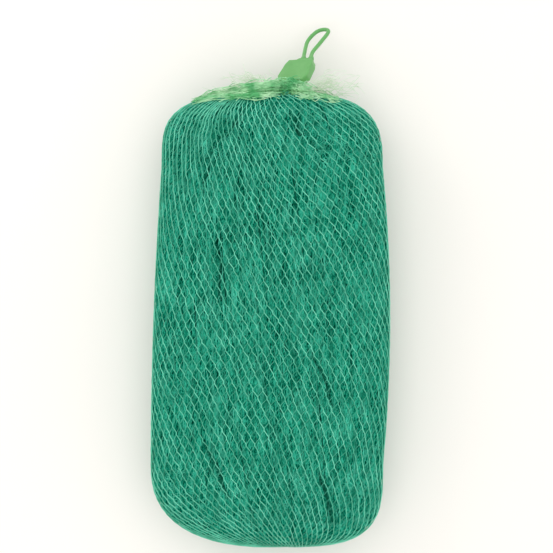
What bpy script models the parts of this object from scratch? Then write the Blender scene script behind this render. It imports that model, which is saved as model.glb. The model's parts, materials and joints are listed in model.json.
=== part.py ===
"""Packed mesh produce bag: a net sleeve drawn over folded netting and closed by a loop clip.

The bag lies on its back: X runs across it, Y along it towards the clip, Z up.
Inside the script Y counts from the foot of the bag; the assembly empty then
moves everything so that the origin is at the middle of the base.
All sizes are in metres and all angles in degrees.
"""
import math

import bmesh
import bpy
from mathutils import Euler, Matrix, Vector

GAP = 0.0003                    # between pieces that touch
FACES_ROUND = 36                # facets round the net sleeve

# Bag
BAG_LENGTH = 0.3250             # foot to neck opening
BAG_THICKNESS = 0.0800
FOOT_WIDTH = 0.1677
MIDDLE_WIDTH = 0.1712
SHOULDER_WIDTH = 0.1596
FOOT_SHIFT = -0.0026            # middle line of the bag, to the right of X = 0
MIDDLE_SHIFT = 0.0006
SHOULDER_SHIFT = 0.0012
MIDDLE_STATION = 0.1480         # where the middle width is measured
FOOT_ROUND = 0.0600             # length of the rounded foot
SHOULDER_ROUND = 0.0520         # length of the rounded shoulders
FOOT_CORNERS = (2.5, 3.5)       # left and right, higher is squarer
SHOULDER_CORNERS = (3.7, 3.1)
END_CORNER = 2.7                # the same, seen from the side
SIDE_CORNER = 2.5               # the same, across the bag
FLAT_SINK = 0.0060              # how much of the round underside the floor flattens
NET_WALL = 0.0012               # net sleeve, strands and holes together
NECK_RIM_RADIUS = 0.0070
FOOT_RIM_RADIUS = 0.0055
FOOT_DIMPLE = 0.0070            # depth of the tucked-in foot gather
FOOT_X = 0.0050
FOOT_HEIGHT = 0.0380

# Folded netting inside
FOLD_CLEARANCE = 0.0011         # to the net sleeve
FOLD_GAP = 0.0011               # between neighbouring folds
FOLD_SLANT = 0.50               # how far the folds lean across the bag
FOLD_CORNER = 4.0
FOLD_END = 0.93                 # how far the folds reach into the rounded ends
FRONT_FOLDS = (-1.0, -0.64, -0.36, 0.0, 0.34, 0.66, 1.0)
BACK_FOLDS = (-1.0, -0.60, -0.20, 0.20, 0.60, 1.0)

# Neck, gathered and turned towards the clip
NECK_X = 0.0116
NECK_HEIGHT = 0.0505
NECK_RISE = 0.0016              # middle of the neck ball, past the neck opening
NECK_BALL = 0.0050
NECK_END_RADIUS = 0.0030
NECK_END_HALF = 0.0035
NECK_LENGTH = 0.0082            # ball middle to clip mouth
CLIP_LEAN = 26.6                # to the right, seen from above
CLIP_NOD = 32.6                 # down from level
CLIP_ROLL = 40.0                # right edge up

# Clip housing, in its own frame: X across, Y towards the loop, Z through it
MOUTH_WALL = 0.0014
HOUSING_WIDTH = 0.0248
HOUSING_CHEEK_WIDTH = 0.0232
HOUSING_TOP_WIDTH = 0.0200
HOUSING_LENGTH = 0.0220
MOUTH_CORNER = 0.0050           # where the mouth corners end
CHEEK = 0.0175                  # where the top corners start
HOUSING_THICKNESS = 0.0064
HOUSING_EDGE = 0.0007
POCKET_ROOM = 0.0005            # beside the plug's tongue
POCKET_DEPTH = 0.0160
POCKET_HEIGHT = 0.0038

# Clip plug
PLUG_X = 0.0024                 # off the middle of the housing
PLUG_WIDTH = 0.0104
PLUG_THICKNESS = 0.0020
PLUG_REACH = 0.0150             # below the housing's top edge
PLUG_TEETH = 5
PLUG_TOOTH = 0.0006
PLUG_CLEARANCE = 0.0003
HEAD_WIDTH = 0.0140
HEAD_TOP_WIDTH = 0.0100
HEAD_HEIGHT = 0.0017
HEAD_THICKNESS = 0.0046

# Pinched net inside the housing
PINCH_THICKNESS = 0.0009

# Hanging loop, a strap that leaves the plug's head and comes back to it
STRAP_RADIUS = 0.0014
STRAP_SIDES = 10
STRAP_STEPS = 5                 # cuts between two points of the route
LOOP_ROUTE = (
    (-0.0030, 0.0), (-0.0050, 0.0065), (-0.0078, 0.0195), (-0.0046, 0.0292),
    (0.0013, 0.0316), (0.0060, 0.0286), (0.0044, 0.0185), (0.0018, 0.0070), (0.0034, 0.0),
)

# Loose ends of the net, beside the neck
TAIL_HALF_THICKNESS = 0.0030
LEFT_TAIL_SIZE = (0.0225, 0.0070)
LEFT_TAIL_PLACE = (-0.0430, 0.0072)
LEFT_TAIL_TURN = 4.0
RIGHT_TAIL_SIZE = (0.0150, 0.0065)
RIGHT_TAIL_PLACE = (0.0465, 0.0070)
RIGHT_TAIL_TURN = -15.0

# Foot gather and the crimp round it
GATHER_END_RADIUS = 0.0042
GATHER_WAIST_RADIUS = 0.0026
CRIMP_WALL = 0.0012
CRIMP_WIDTH = 0.0018
CRIMP_PLACE = 0.0034            # from the foot

NET_GREEN = (0.32, 0.66, 0.36, 1.0)
NETTING_GREEN = (0.014, 0.240, 0.150, 1.0)
CLIP_GREEN = (0.18, 0.49, 0.165, 1.0)
CRIMP_GREY = (0.60, 0.61, 0.62, 1.0)


def clear_scene():
    for item in list(bpy.data.objects):
        bpy.data.objects.remove(item, do_unlink=True)


def add_material(name, color, roughness, metallic=0.0):
    material = bpy.data.materials.new(name)
    material.use_nodes = True
    shader = material.node_tree.nodes["Principled BSDF"]
    shader.inputs["Base Color"].default_value = color
    shader.inputs["Roughness"].default_value = roughness
    shader.inputs["Metallic"].default_value = metallic
    return material


def add_piece(name, bm, parent, material):
    """Turn a bmesh into a named object under its parent empty, its faces pointing out."""
    if bm.calc_volume(signed=True) < 0.0:
        bmesh.ops.reverse_faces(bm, faces=bm.faces)
    mesh = bpy.data.meshes.new(name)
    bm.to_mesh(mesh)
    bm.free()
    mesh.shade_smooth()
    mesh.set_sharp_from_angle(angle=math.radians(35.0))
    mesh.materials.append(material)
    piece = bpy.data.objects.new(name, mesh)
    bpy.context.collection.objects.link(piece)
    piece.parent = parent
    return piece


def add_empty(name, parent, location=(0.0, 0.0, 0.0), rotation=None):
    empty = bpy.data.objects.new(name, None)
    bpy.context.collection.objects.link(empty)
    empty.empty_display_size = 0.01
    empty.parent = parent
    empty.location = location
    if rotation is not None:
        empty.rotation_mode = rotation.order
        empty.rotation_euler = rotation
    return empty


def loft(rings, closed_ends):
    """Skin a list of point rings; without closed ends the last ring joins the first."""
    bm = bmesh.new()
    rows = [[bm.verts.new(point) for point in ring] for ring in rings]
    pairs = list(zip(rows, rows[1:]))
    if not closed_ends:
        pairs.append((rows[-1], rows[0]))
    count = len(rows[0])
    for lower, upper in pairs:
        for k in range(count):
            after = (k + 1) % count
            bm.faces.new((lower[k], lower[after], upper[after], upper[k]))
    if closed_ends:
        bm.faces.new(rows[0][::-1])
        bm.faces.new(rows[-1])
    return bm


def through_three(places, values, y):
    """Parabola through three measured values along the bag."""
    total = 0.0
    for i, value in enumerate(values):
        weight = 1.0
        for j, place in enumerate(places):
            if j != i:
                weight *= (y - place) / (places[i] - place)
        total += value * weight
    return total


def half_widths(y):
    """Distance from X = 0 to the left and right side of the bag."""
    places = (FOOT_ROUND, MIDDLE_STATION, BAG_LENGTH - SHOULDER_ROUND)
    y = min(max(y, places[0]), places[2])
    width = through_three(places, (FOOT_WIDTH, MIDDLE_WIDTH, SHOULDER_WIDTH), y)
    shift = through_three(places, (FOOT_SHIFT, MIDDLE_SHIFT, SHOULDER_SHIFT), y)
    return width / 2 - shift, width / 2 + shift


def shrink(share, corner):
    """Size left at a share of the way into a rounded end."""
    return max(0.0, 1.0 - share ** corner) ** (1.0 / corner)


def draw_in(point, y, inset):
    """Pull a point of the straight bag towards the foot or the neck in the rounded ends."""
    shoulder_start = BAG_LENGTH - SHOULDER_ROUND
    if y < FOOT_ROUND:
        share = min(1.0, (FOOT_ROUND - y) / (FOOT_ROUND - inset))
        focus = Vector((FOOT_X, 0.0, FOOT_HEIGHT))
        corners = FOOT_CORNERS
    elif y > shoulder_start:
        share = min(1.0, (y - shoulder_start) / (SHOULDER_ROUND - inset))
        focus = Vector((NECK_X, 0.0, NECK_HEIGHT))
        corners = SHOULDER_CORNERS
    else:
        return Vector((point.x, y, point.z))
    side = corners[0] if point.x < focus.x else corners[1]
    x = focus.x + (point.x - focus.x) * shrink(share, side)
    z = focus.z + (point.z - focus.z) * shrink(share, END_CORNER)
    return Vector((x, y, z))


def skin_height(across, front, inset):
    """Height of the bag's skin at a share of its half width, on the front or the back."""
    middle = BAG_THICKNESS / 2
    rise = shrink(abs(across), SIDE_CORNER)
    if front:
        return middle + (middle - inset) * rise
    return max(inset, middle - (middle - inset + FLAT_SINK) * rise)


def sleeve_ring(y, inset):
    """Closed ring of points round the bag at length y, inset from the skin."""
    left, right = half_widths(y)
    ring = []
    for k in range(FACES_ROUND):
        angle = 2 * math.pi * k / FACES_ROUND
        across = math.copysign(abs(math.cos(angle)) ** (2 / SIDE_CORNER), math.cos(angle))
        half = right if across > 0 else left
        height = skin_height(across, math.sin(angle) >= 0, inset)
        ring.append(draw_in(Vector((across * (half - inset), y, height)), y, inset))
    return ring


def rim_ring(x, y, z, radius):
    ring = []
    for k in range(FACES_ROUND):
        angle = 2 * math.pi * k / FACES_ROUND
        ring.append(Vector((x + radius * math.cos(angle), y, z + radius * math.sin(angle))))
    return ring


def end_shares(deepest, count):
    """Shares of a rounded end, closer together where it curves most."""
    last = math.asin(deepest ** 1.5)
    return [math.sin(last * k / count) ** (1 / 1.5) for k in range(count + 1)]


def sleeve_rings(inset):
    """Rings from the foot opening to the neck opening, inset from the skin."""
    foot_depth = FOOT_ROUND - inset
    shoulder_depth = SHOULDER_ROUND - inset
    shoulder_start = BAG_LENGTH - SHOULDER_ROUND
    dimple = ((FOOT_DIMPLE, FOOT_RIM_RADIUS), (FOOT_DIMPLE * 0.35, FOOT_RIM_RADIUS + 0.0020))
    rings = [rim_ring(FOOT_X, inset + depth, FOOT_HEIGHT, radius) for depth, radius in dimple]
    for share in reversed(end_shares(0.985, 7)):
        rings.append(sleeve_ring(FOOT_ROUND - share * foot_depth, inset))
    straight = 6
    for k in range(1, straight):
        y = FOOT_ROUND + (shoulder_start - FOOT_ROUND) * k / straight
        rings.append(sleeve_ring(y, inset))
    for share in end_shares(0.985, 7):
        rings.append(sleeve_ring(shoulder_start + share * shoulder_depth, inset))
    rings.append(rim_ring(NECK_X, BAG_LENGTH - inset, NECK_HEIGHT, NECK_RIM_RADIUS))
    return rings


def build_sleeve(parent, material):
    """Net tube: one wall with an opening at the neck and one at the foot."""
    outer = sleeve_rings(0.0)
    inner = sleeve_rings(NET_WALL)
    return add_piece("net_sleeve", loft(outer + inner[::-1], False), parent, material)


def fold_edge(across, y):
    """Place of a line between two folds, leaning across the bag."""
    lean = FOLD_SLANT * (1.0 - across * across)
    return across + lean * (0.5 - y / BAG_LENGTH)


def fold_section(y, start, stop, front, inset):
    """D-shaped section of one fold: rounded towards the net, flat at mid height."""
    left, right = half_widths(y)
    edges = []
    for across, side in ((fold_edge(start, y), 1.0), (fold_edge(stop, y), -1.0)):
        half = (right if across > 0 else left) - inset
        edges.append(across * half + side * FOLD_GAP / 2)
    middle = BAG_THICKNESS / 2
    base = middle + math.copysign(FOLD_GAP / 2, 1.0 if front else -1.0)
    ring = []
    steps = 10
    for k in range(steps + 1):
        across_fold = -math.cos(math.pi * k / steps)
        x = edges[0] + (edges[1] - edges[0]) * (across_fold + 1) / 2
        half = (right if x > 0 else left) - inset
        skin = skin_height(min(1.0, abs(x) / half), front, inset)
        z = base + (skin - base) * shrink(abs(across_fold), FOLD_CORNER)
        ring.append(draw_in(Vector((x, y, z)), y, inset))
    return ring


def fold_stations(inset):
    """Lengths at which the folds are cut, foot to shoulders."""
    foot_depth = FOOT_ROUND - inset
    shoulder_depth = SHOULDER_ROUND - inset
    shoulder_start = BAG_LENGTH - SHOULDER_ROUND
    stations = [FOOT_ROUND - share * foot_depth for share in reversed(end_shares(FOLD_END, 4))]
    straight = 5
    for k in range(1, straight):
        stations.append(FOOT_ROUND + (shoulder_start - FOOT_ROUND) * k / straight)
    stations += [shoulder_start + share * shoulder_depth for share in end_shares(FOLD_END, 4)]
    return stations


def build_dimple_cutter(parent):
    """Space for the foot gather, taken out of the folds' ends."""
    bm = bmesh.new()
    bmesh.ops.create_uvsphere(bm, u_segments=20, v_segments=10, radius=1.0)
    radius = FOOT_RIM_RADIUS + 0.0020 + NET_WALL + FOLD_CLEARANCE + 0.0022
    depth = FOOT_DIMPLE + NET_WALL + FOLD_CLEARANCE + 0.0022
    bmesh.ops.scale(bm, vec=(radius, depth, radius), verts=bm.verts)
    cutter = add_piece("dimple_cutter", bm, parent, add_material("cutter", CRIMP_GREY, 0.5))
    cutter.location = (FOOT_X, 0.0, FOOT_HEIGHT)
    cutter.hide_render = True
    cutter.display_type = "WIRE"
    return cutter


def build_folds(parent, material):
    """Lengthwise folds of the netting in two layers, front and back."""
    inset = NET_WALL + FOLD_CLEARANCE
    cutter = build_dimple_cutter(parent)
    for layer, lines in (("front", FRONT_FOLDS), ("back", BACK_FOLDS)):
        for number, (start, stop) in enumerate(zip(lines, lines[1:]), start=1):
            rings = []
            for y in fold_stations(inset):
                rings.append(fold_section(y, start, stop, layer == "front", inset))
            fold = add_piece(f"netting_fold_{layer}_{number}", loft(rings, True), parent, material)
            cut = fold.modifiers.new("foot_dimple", "BOOLEAN")
            cut.operation = "DIFFERENCE"
            cut.object = cutter


def ball(bm, centre, radius):
    bmesh.ops.create_uvsphere(
        bm, u_segments=16, v_segments=8, radius=radius, matrix=Matrix.Translation(centre)
    )


def build_neck(parent, clip_turn, material):
    """Gathered net: a ball in the sleeve's opening, drawn out to the clip's mouth."""
    bm = bmesh.new()
    ball(bm, Vector((0.0, 0.0, 0.0)), NECK_BALL)
    end = clip_turn @ Vector((0.0, NECK_LENGTH - NECK_END_RADIUS - GAP, 0.0))
    side = clip_turn @ Vector((NECK_END_HALF, 0.0, 0.0))
    ball(bm, end + side, NECK_END_RADIUS)
    ball(bm, end - side, NECK_END_RADIUS)
    hull = bmesh.ops.convex_hull(bm, input=bm.verts)
    inside = [item for item in hull["geom_interior"] if isinstance(item, bmesh.types.BMVert)]
    bmesh.ops.delete(bm, geom=inside, context="VERTS")
    covered = [face for face in bm.faces if face not in set(hull["geom"])]
    bmesh.ops.delete(bm, geom=covered, context="FACES_ONLY")
    return add_piece("net_neck", bm, parent, material)


def extrude_outline(outline, low, high):
    """Flat outline in X and Y, given a thickness from low to high."""
    return loft([[Vector((x, y, z)) for x, y in outline] for z in (low, high)], True)


def add_cutter(name, low, high, parent):
    bm = bmesh.new()
    bmesh.ops.create_cube(bm, size=1.0)
    size = Vector(high) - Vector(low)
    bmesh.ops.scale(bm, vec=size, verts=bm.verts)
    cutter = add_piece(name, bm, parent, add_material(name, CRIMP_GREY, 0.5))
    cutter.location = (Vector(low) + Vector(high)) / 2
    cutter.hide_render = True
    cutter.display_type = "WIRE"
    return cutter


def pocket_half_width():
    return PLUG_X + PLUG_WIDTH / 2 + POCKET_ROOM


def build_housing(parent, material):
    """Flat moulded housing with a wide pocket at its mouth and a plug slot at its top."""
    half_width = pocket_half_width()
    half_mouth = half_width + MOUTH_WALL
    outline = (
        (-half_mouth, 0.0), (half_mouth, 0.0),
        (HOUSING_WIDTH / 2, MOUTH_CORNER), (HOUSING_CHEEK_WIDTH / 2, CHEEK),
        (HOUSING_TOP_WIDTH / 2, HOUSING_LENGTH), (-HOUSING_TOP_WIDTH / 2, HOUSING_LENGTH),
        (-HOUSING_CHEEK_WIDTH / 2, CHEEK), (-HOUSING_WIDTH / 2, MOUTH_CORNER),
    )
    bm = extrude_outline(outline, -HOUSING_THICKNESS / 2, HOUSING_THICKNESS / 2)
    bmesh.ops.bevel(
        bm, geom=list(bm.edges), offset=HOUSING_EDGE, segments=2, profile=0.5, affect="EDGES"
    )
    housing = add_piece("clip_housing", bm, parent, material)
    past = 0.002
    half_pocket = POCKET_HEIGHT / 2
    pocket = add_cutter(
        "pocket_cutter", (-half_width, -past, -half_pocket),
        (half_width, POCKET_DEPTH, half_pocket), parent,
    )
    half_slot = PLUG_WIDTH / 2 + PLUG_CLEARANCE
    slot_low = half_pocket - PLUG_THICKNESS - 2 * PLUG_CLEARANCE
    slot = add_cutter(
        "slot_cutter", (PLUG_X - half_slot, POCKET_DEPTH - past, slot_low),
        (PLUG_X + half_slot, HOUSING_LENGTH + past, half_pocket), parent,
    )
    for cutter in (pocket, slot):
        cut = housing.modifiers.new(cutter.name, "BOOLEAN")
        cut.operation = "DIFFERENCE"
        cut.object = cutter
    return housing


def plug_outline():
    """Tongue with saw-tooth edges and a tapered nose, below a trapezoid head."""
    top = HOUSING_LENGTH + GAP
    nose = HOUSING_LENGTH - PLUG_REACH
    half = PLUG_WIDTH / 2
    pitch = (POCKET_DEPTH - nose) / (PLUG_TEETH + 1)
    right_edge = [(PLUG_X + half - 0.0020, nose)]
    for k in range(PLUG_TEETH):
        y = nose + pitch * (k + 1)
        right_edge.append((PLUG_X + half, y))
        right_edge.append((PLUG_X + half - PLUG_TOOTH, y + PLUG_TOOTH / 2))
    right_edge.append((PLUG_X + half, nose + pitch * (PLUG_TEETH + 1)))
    right_edge.append((PLUG_X + half, top))
    right_edge.append((PLUG_X + HEAD_WIDTH / 2, top))
    right_edge.append((PLUG_X + HEAD_TOP_WIDTH / 2, top + HEAD_HEIGHT))
    left_edge = [(2 * PLUG_X - x, y) for x, y in reversed(right_edge)]
    return right_edge + left_edge


def build_plug(parent, material):
    """Wedge plug: a toothed tongue, and a thicker head that stops on the housing."""
    outline = plug_outline()
    high = POCKET_HEIGHT / 2 - PLUG_CLEARANCE
    bm = extrude_outline(outline, high - PLUG_THICKNESS, high)
    plug = add_piece("clip_plug", bm, parent, material)
    top = HOUSING_LENGTH + GAP
    head_outline = (
        (PLUG_X - HEAD_WIDTH / 2, top), (PLUG_X + HEAD_WIDTH / 2, top),
        (PLUG_X + HEAD_TOP_WIDTH / 2, top + HEAD_HEIGHT),
        (PLUG_X - HEAD_TOP_WIDTH / 2, top + HEAD_HEIGHT),
    )
    head_bm = extrude_outline(head_outline, -HEAD_THICKNESS / 2, HEAD_THICKNESS / 2)
    head = add_piece("plug_head_shape", head_bm, parent, material)
    head.hide_render = True
    head.display_type = "WIRE"
    join = plug.modifiers.new("head", "BOOLEAN")
    join.operation = "UNION"
    join.object = head
    return plug


def smooth_route(points, steps):
    """Catmull-Rom curve through the points of a flat route."""
    ends = [points[0]] + list(points) + [points[-1]]
    route = []
    for a, b, c, d in zip(ends, ends[1:], ends[2:], ends[3:]):
        a, b, c, d = Vector(a), Vector(b), Vector(c), Vector(d)
        for k in range(steps):
            t = k / steps
            bend = 2 * b + (c - a) * t + (2 * a - 5 * b + 4 * c - d) * t * t
            bend += (3 * b - a - 3 * c + d) * t ** 3
            route.append(bend / 2)
    route.append(Vector(points[-1]))
    return route


def strap_rings(route, radius, sides):
    """Round sections along a flat route, closing in to rounded ends."""
    rings = []
    last = len(route) - 1
    for k, point in enumerate(route):
        ahead = (route[min(k + 1, last)] - route[max(k - 1, 0)]).normalized()
        across = Vector((ahead.y, -ahead.x, 0.0))
        centre = Vector((point.x, point.y, 0.0))
        steps = [(0.0, 1.0)]
        if k == 0:
            steps = [(-0.97, 0.26), (-0.71, 0.71), (0.0, 1.0)]
        if k == last:
            steps = [(0.0, 1.0), (0.71, 0.71), (0.97, 0.26)]
        for along, size in steps:
            middle = centre + Vector((ahead.x, ahead.y, 0.0)) * along * radius
            ring = []
            for j in range(sides):
                angle = 2 * math.pi * j / sides
                offset = across * math.cos(angle) + Vector((0.0, 0.0, 1.0)) * math.sin(angle)
                ring.append(middle + offset * radius * size)
            rings.append(ring)
    return rings


def build_loop(parent, material):
    """Moulded strap in one open loop, in its own frame at the loop's roots."""
    route = smooth_route(LOOP_ROUTE, STRAP_STEPS)
    rings = strap_rings(route, STRAP_RADIUS, STRAP_SIDES)
    return add_piece("hanging_loop", loft(rings, True), parent, material)


def build_pinch(parent, material):
    """Flat pad of net held between the plug's tongue and the housing."""
    half = pocket_half_width() - GAP
    low = -POCKET_HEIGHT / 2 + GAP
    outline = ((-half, GAP), (half, GAP), (half, POCKET_DEPTH - GAP), (-half, POCKET_DEPTH - GAP))
    bm = extrude_outline(outline, low, low + PINCH_THICKNESS)
    return add_piece("net_pinch", bm, parent, material)


def build_tail(name, size, place, turn, parent, material):
    """Loose strand ends of the net, as one thin pad beside the neck."""
    bm = bmesh.new()
    bmesh.ops.create_uvsphere(bm, u_segments=18, v_segments=8, radius=1.0)
    bmesh.ops.scale(bm, vec=(size[0], size[1], TAIL_HALF_THICKNESS), verts=bm.verts)
    tail = add_piece(name, bm, parent, material)
    tail.location = (NECK_X + place[0], BAG_LENGTH + place[1], NECK_HEIGHT)
    tail.rotation_euler = (0.0, 0.0, math.radians(turn))
    return tail


def turned(profile, sides=20):
    """Rings round the foot's axis from (radius, distance from foot) points."""
    rings = []
    for radius, y in profile:
        rings.append([
            Vector((
                FOOT_X + radius * math.cos(2 * math.pi * k / sides), y,
                FOOT_HEIGHT + radius * math.sin(2 * math.pi * k / sides),
            ))
            for k in range(sides)
        ])
    return rings


def build_foot_gather(parent, material):
    """Foot of the net tube, bunched inside the opening and cut off past the crimp."""
    half_crimp = CRIMP_WIDTH / 2 + GAP
    inner_end = FOOT_DIMPLE + NET_WALL + 0.0010
    profile = (
        (0.0026, inner_end), (GATHER_END_RADIUS, inner_end - 0.0014),
        (GATHER_END_RADIUS, CRIMP_PLACE + half_crimp + 0.0012),
        (GATHER_WAIST_RADIUS, CRIMP_PLACE + half_crimp),
        (GATHER_WAIST_RADIUS, CRIMP_PLACE - half_crimp),
        (GATHER_END_RADIUS, CRIMP_PLACE - half_crimp - 0.0012),
        (0.0030, 0.0004),
    )
    rings = turned(profile)
    return add_piece("net_foot_gather", loft(rings, True), parent, material)


def build_crimp(parent, material):
    """Metal band pressed round the waist of the foot gather."""
    inner = GATHER_WAIST_RADIUS + GAP
    outer = inner + CRIMP_WALL
    low = CRIMP_PLACE - CRIMP_WIDTH / 2
    high = CRIMP_PLACE + CRIMP_WIDTH / 2
    profile = ((inner, low), (outer, low), (outer, high), (inner, high))
    rings = turned(profile)
    return add_piece("foot_crimp", loft(rings, False), parent, material)


def build_bag():
    clear_scene()
    net = add_material("net", NET_GREEN, 0.45)
    netting = add_material("netting", NETTING_GREEN, 0.60)
    plastic = add_material("clip_plastic", CLIP_GREEN, 0.38)
    metal = add_material("crimp_metal", CRIMP_GREY, 0.35, metallic=1.0)

    clip_turn = Euler(
        (math.radians(-CLIP_NOD), math.radians(-CLIP_ROLL), math.radians(-CLIP_LEAN)), "YXZ"
    )
    turn = clip_turn.to_matrix()
    neck_middle = Vector((NECK_X, BAG_LENGTH + NECK_RISE, NECK_HEIGHT))
    mouth = neck_middle + turn @ Vector((0.0, NECK_LENGTH, 0.0))
    loop_base = HOUSING_LENGTH + GAP + HEAD_HEIGHT + GAP + STRAP_RADIUS
    loop_points = [
        mouth + turn @ Vector((PLUG_X + point.x, loop_base + point.y, 0.0))
        for point in smooth_route(LOOP_ROUTE, STRAP_STEPS)
    ]
    far_end = max(point.y for point in loop_points) + STRAP_RADIUS

    assembly = add_empty("assembly", None, (0.0, -far_end / 2, 0.0))
    build_sleeve(assembly, net)
    build_folds(assembly, netting)
    build_foot_gather(assembly, net)
    build_crimp(assembly, metal)
    build_tail("net_tail_left", LEFT_TAIL_SIZE, LEFT_TAIL_PLACE, LEFT_TAIL_TURN, assembly, net)
    build_tail("net_tail_right", RIGHT_TAIL_SIZE, RIGHT_TAIL_PLACE, RIGHT_TAIL_TURN, assembly, net)

    neck_sway = add_empty("neck_sway_axis", assembly, neck_middle)
    build_neck(neck_sway, turn, net)
    clip = add_empty("clip_frame", assembly, mouth, clip_turn)
    build_housing(clip, plastic)
    build_pinch(clip, net)
    build_plug(clip, plastic)
    loop_flex = add_empty("loop_flex_axis", clip, (PLUG_X, loop_base, 0.0))
    build_loop(loop_flex, plastic)
    bpy.context.view_layer.update()


build_bag()
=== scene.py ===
"""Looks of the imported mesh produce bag: folded teal netting in a green diamond net, with its clip.

The bag lies on its back: X runs across it, Y along it towards the clip, Z up.
All sizes are in metres and all angles in degrees, unless a line says otherwise.
"""
import math

import bpy
import numpy as np
from mathutils import Matrix, Vector
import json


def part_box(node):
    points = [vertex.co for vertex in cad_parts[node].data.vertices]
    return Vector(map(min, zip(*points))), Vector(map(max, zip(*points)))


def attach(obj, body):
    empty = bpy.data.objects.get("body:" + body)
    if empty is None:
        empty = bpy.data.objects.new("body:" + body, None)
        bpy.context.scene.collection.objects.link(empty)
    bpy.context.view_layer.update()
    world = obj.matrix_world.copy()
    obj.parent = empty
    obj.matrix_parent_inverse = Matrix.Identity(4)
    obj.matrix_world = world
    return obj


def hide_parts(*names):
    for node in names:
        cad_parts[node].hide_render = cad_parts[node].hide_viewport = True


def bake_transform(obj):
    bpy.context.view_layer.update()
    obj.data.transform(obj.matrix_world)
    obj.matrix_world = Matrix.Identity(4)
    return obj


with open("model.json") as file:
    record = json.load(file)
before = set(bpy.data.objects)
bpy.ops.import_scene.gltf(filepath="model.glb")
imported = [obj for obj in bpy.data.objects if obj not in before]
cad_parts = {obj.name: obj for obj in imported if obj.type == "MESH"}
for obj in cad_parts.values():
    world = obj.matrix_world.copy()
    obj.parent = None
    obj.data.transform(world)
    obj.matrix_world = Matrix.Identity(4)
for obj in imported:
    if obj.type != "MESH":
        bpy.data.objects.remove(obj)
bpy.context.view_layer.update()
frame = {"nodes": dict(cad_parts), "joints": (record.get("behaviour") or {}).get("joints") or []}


# The table that the bag lies on, and the light over it.
# A pale cream board under one large soft box, a weaker one from the left, and a white
# surround, so that the bag has almost no shadow.

FLOOR_SIZE = 3.0
FLOOR_CREAM = (0.955, 0.925, 0.882, 1.0)
FLOOR_CLOUD = 0.25              # size of the board's faint lighter clouds
CLOUD_LIGHTER = 1.012
SURROUND_WHITE = (1.0, 0.995, 0.985, 1.0)
SURROUND_STRENGTH = 0.92
LIGHT_AIM = (0.0, 0.0, 0.04)    # the middle of the bag
SOFT_BOX_SIZE = 1.6
SOFT_BOX_HEIGHT = 1.7
SOFT_BOX_WATTS = 7.0
SIDE_BOX_PLACE = (-0.9, 0.7, 0.8)
SIDE_BOX_SIZE = 0.5
SIDE_BOX_WATTS = 1.6


def start_material(name, roughness):
    """New node material: its node tree and its Principled shader."""
    material = bpy.data.materials.new(name)
    material.use_nodes = True
    shader = material.node_tree.nodes["Principled BSDF"]
    shader.inputs["Roughness"].default_value = roughness
    return material, material.node_tree, shader


def add_noise(tree, grain, detail=3.0, turn=0.0, roughness=0.55):
    """Noise with one grain size for each of X, Y and Z, in metres, turned about Z."""
    place = tree.nodes.new("ShaderNodeTexCoord")
    mapping = tree.nodes.new("ShaderNodeMapping")
    mapping.vector_type = "POINT"
    spin = tree.nodes.new("ShaderNodeMapping")
    spin.inputs["Rotation"].default_value = (0.0, 0.0, math.radians(turn))
    mapping.inputs["Scale"].default_value = [1.0 / size for size in grain]
    tree.links.new(place.outputs["Object"], spin.inputs["Vector"])
    tree.links.new(spin.outputs["Vector"], mapping.inputs["Vector"])
    noise = tree.nodes.new("ShaderNodeTexNoise")
    noise.inputs["Scale"].default_value = 1.0
    noise.inputs["Detail"].default_value = detail
    noise.inputs["Roughness"].default_value = roughness
    tree.links.new(mapping.outputs["Vector"], noise.inputs["Vector"])
    return noise.outputs["Fac"]


def add_ramp(tree, factor, stops):
    """Colour from a factor, by (position, colour) stops."""
    ramp = tree.nodes.new("ShaderNodeValToRGB")
    while len(ramp.color_ramp.elements) < len(stops):
        ramp.color_ramp.elements.new(0.5)
    for element, (position, color) in zip(ramp.color_ramp.elements, stops):
        element.position = position
        element.color = color
    tree.links.new(factor, ramp.inputs["Fac"])
    return ramp.outputs["Color"]


def add_bump(tree, shader, height, depth):
    """Bump of a real depth in metres."""
    bump = tree.nodes.new("ShaderNodeBump")
    bump.inputs["Strength"].default_value = 1.0
    bump.inputs["Distance"].default_value = depth
    tree.links.new(height, bump.inputs["Height"])
    tree.links.new(bump.outputs["Normal"], shader.inputs["Normal"])


def floor_material():
    """Matt painted board with faint lighter clouds."""
    material, tree, shader = start_material("pale_board", 0.85)
    grain = add_noise(tree, (FLOOR_CLOUD, FLOOR_CLOUD, FLOOR_CLOUD), detail=2.0)
    lighter = tuple(min(1.0, part * CLOUD_LIGHTER) for part in FLOOR_CREAM[:3]) + (1.0,)
    color = add_ramp(tree, grain, [(0.35, FLOOR_CREAM), (0.65, lighter)])
    tree.links.new(color, shader.inputs["Base Color"])
    return material


def add_soft_box(name, place, size, watts):
    """Square area light that looks at the middle of the bag."""
    light = bpy.data.lights.new(name, "AREA")
    light.shape = "SQUARE"
    light.size = size
    light.energy = watts
    lamp = bpy.data.objects.new(name, light)
    lamp.location = place
    away_from_bag = Vector(place) - Vector(LIGHT_AIM)
    lamp.rotation_euler = away_from_bag.to_track_quat("Z", "Y").to_euler()
    bpy.context.collection.objects.link(lamp)


floor_mesh = bpy.data.meshes.new("board")
half_floor = FLOOR_SIZE / 2
floor_mesh.from_pydata(
    [(-half_floor, -half_floor, 0.0), (half_floor, -half_floor, 0.0),
     (half_floor, half_floor, 0.0), (-half_floor, half_floor, 0.0)], [], [(0, 1, 2, 3)],
)
floor_mesh.materials.append(floor_material())
board = bpy.data.objects.new("board", floor_mesh)
bpy.context.collection.objects.link(board)

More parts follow.
